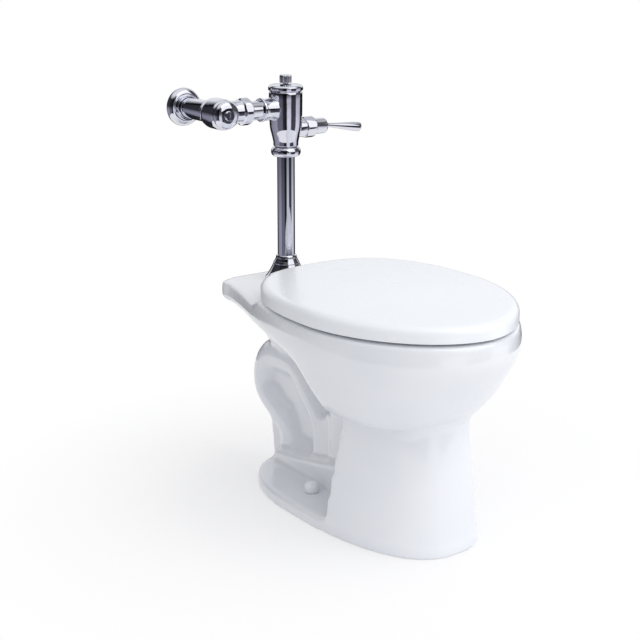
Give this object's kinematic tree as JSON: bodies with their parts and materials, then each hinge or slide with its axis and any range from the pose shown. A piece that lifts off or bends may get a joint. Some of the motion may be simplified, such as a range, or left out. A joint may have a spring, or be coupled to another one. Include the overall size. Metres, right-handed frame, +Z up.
{
  "type": "toilet",
  "caption": "Floor-standing toilet bowl with hinged seat and lid, and an exposed chrome flush valve with side lever, tube and angle stop.",
  "frame": {"origin": "centre of the waste outlet, on the floor", "axes": "+Z up; -Y out of the front, the way the bowl's nose points; +Y to the wall; +X to the lever side"},
  "size_m": [0.3802, 0.673, 0.739],
  "materials": {
    "china": "gloss",
    "seat_plastic": "gloss",
    "bright_chrome": "polished",
    "raw_brass": "machined",
    "copper_tube": "drawn",
    "black_rubber": "matte",
    "white_rubber": "matte",
    "grey_plastic": "moulded",
    "steel": "plain"
  },
  "bodies": {
    "fixture": {"bolt_cap_bases": "grey_plastic", "bolt_caps": "seat_plastic", "bowl": "china", "cover_pipe": "bright_chrome", "flange_screw": "bright_chrome", "flush_tube": "bright_chrome", "handle_nut": "bright_chrome", "handle_socket": "bright_chrome", "hinge_pins": "steel", "hinge_posts": "seat_plastic", "plunger_bush": "raw_brass", "plunger_seal": "black_rubber", "seat_bolt_nuts": "raw_brass", "seat_bolt_sleeves": "black_rubber", "seat_bolts": "steel", "spud": "raw_brass", "spud_coupling_nut": "bright_chrome", "spud_cover": "bright_chrome", "spud_gasket": "black_rubber", "spud_nut": "raw_brass", "spud_slip_gasket": "black_rubber", "spud_washer": "grey_plastic", "stop_body": "bright_chrome", "stop_bonnet": "bright_chrome", "supply_adapter": "copper_tube", "tailpiece": "bright_chrome", "tailpiece_nut": "bright_chrome", "tailpiece_seal": "black_rubber", "top_cap": "bright_chrome", "tube_coupling_nut": "bright_chrome", "tube_washer": "black_rubber", "vacuum_breaker": "black_rubber", "valve_body": "bright_chrome", "valve_seat": "raw_brass", "wall_flange": "bright_chrome"},
    "seat": {"seat_ring": "seat_plastic", "seat_bumpers": "white_rubber"},
    "lid": {"seat_lid": "seat_plastic", "lid_bumpers": "white_rubber"},
    "lever": {"flush_lever": "bright_chrome"},
    "plunger_group": {"plunger": "raw_brass", "plunger_spring": "steel"},
    "relief": {"relief_stem": "raw_brass"},
    "piston_group": {"piston": "grey_plastic", "piston_cup": "black_rubber"},
    "stop_screw_body": {"stop_screw": "bright_chrome"},
    "stop_plug_body": {"stop_plug": "raw_brass", "stop_washer": "black_rubber"},
    "regulator": {"regulating_screw": "bright_chrome"}
  },
  "joints": [
    {"name": "seat_hinge", "type": "hinge", "parent": "fixture", "child": "seat", "pos_m": [0, 0.1, 0.392], "axis": [1, 0, 0], "range_deg": [-93, 0]},
    {"name": "lid_hinge", "type": "hinge", "parent": "seat", "child": "lid", "pos_m": [0, 0.1, 0.392], "axis": [-1, 0, 0], "range_deg": [0, 93]},
    {"name": "lever_press", "type": "hinge", "parent": "fixture", "child": "lever", "pos_m": [0.067, 0.185, 0.652], "axis": [0, 1, 0], "range_deg": [0, 10], "stiffness_Nm_per_rad": 2},
    {"name": "plunger_slide", "type": "slide", "parent": "fixture", "child": "plunger_group", "axis": [-1, 0, 0], "range_m": [0, 0.003]},
    {"name": "relief_tilt", "type": "hinge", "parent": "piston_group", "child": "relief", "pos_m": [0, 0.185, 0.694], "axis": [0, 1, 0], "range_deg": [0, 3.6]},
    {"name": "piston_lift", "type": "slide", "parent": "fixture", "child": "piston_group", "axis": [0, 0, 1], "range_m": [0, 0.01]},
    {"name": "stop_turn", "type": "hinge", "parent": "fixture", "child": "stop_screw_body", "pos_m": [-0.141, 0.147, 0.68], "axis": [0, 1, 0], "range_deg": [0, 1080]},
    {"name": "stop_plug_slide", "type": "slide", "parent": "fixture", "child": "stop_plug_body", "axis": [0, 1, 0], "range_m": [0, 0.0108]},
    {"name": "regulator_turn", "type": "hinge", "parent": "fixture", "child": "regulator", "pos_m": [0, 0.185, 0.724], "axis": [0, 0, 1], "range_deg": [-180, 180]}
  ],
  "couplings": [
    {"joint": "plunger_slide", "follows": "lever_press", "m_per_rad": 0.0169},
    {"joint": "relief_tilt", "follows": "lever_press", "ratio": 0.35},
    {"joint": "stop_turn", "follows": "stop_plug_slide", "rad_per_m": 1740}
  ]
}
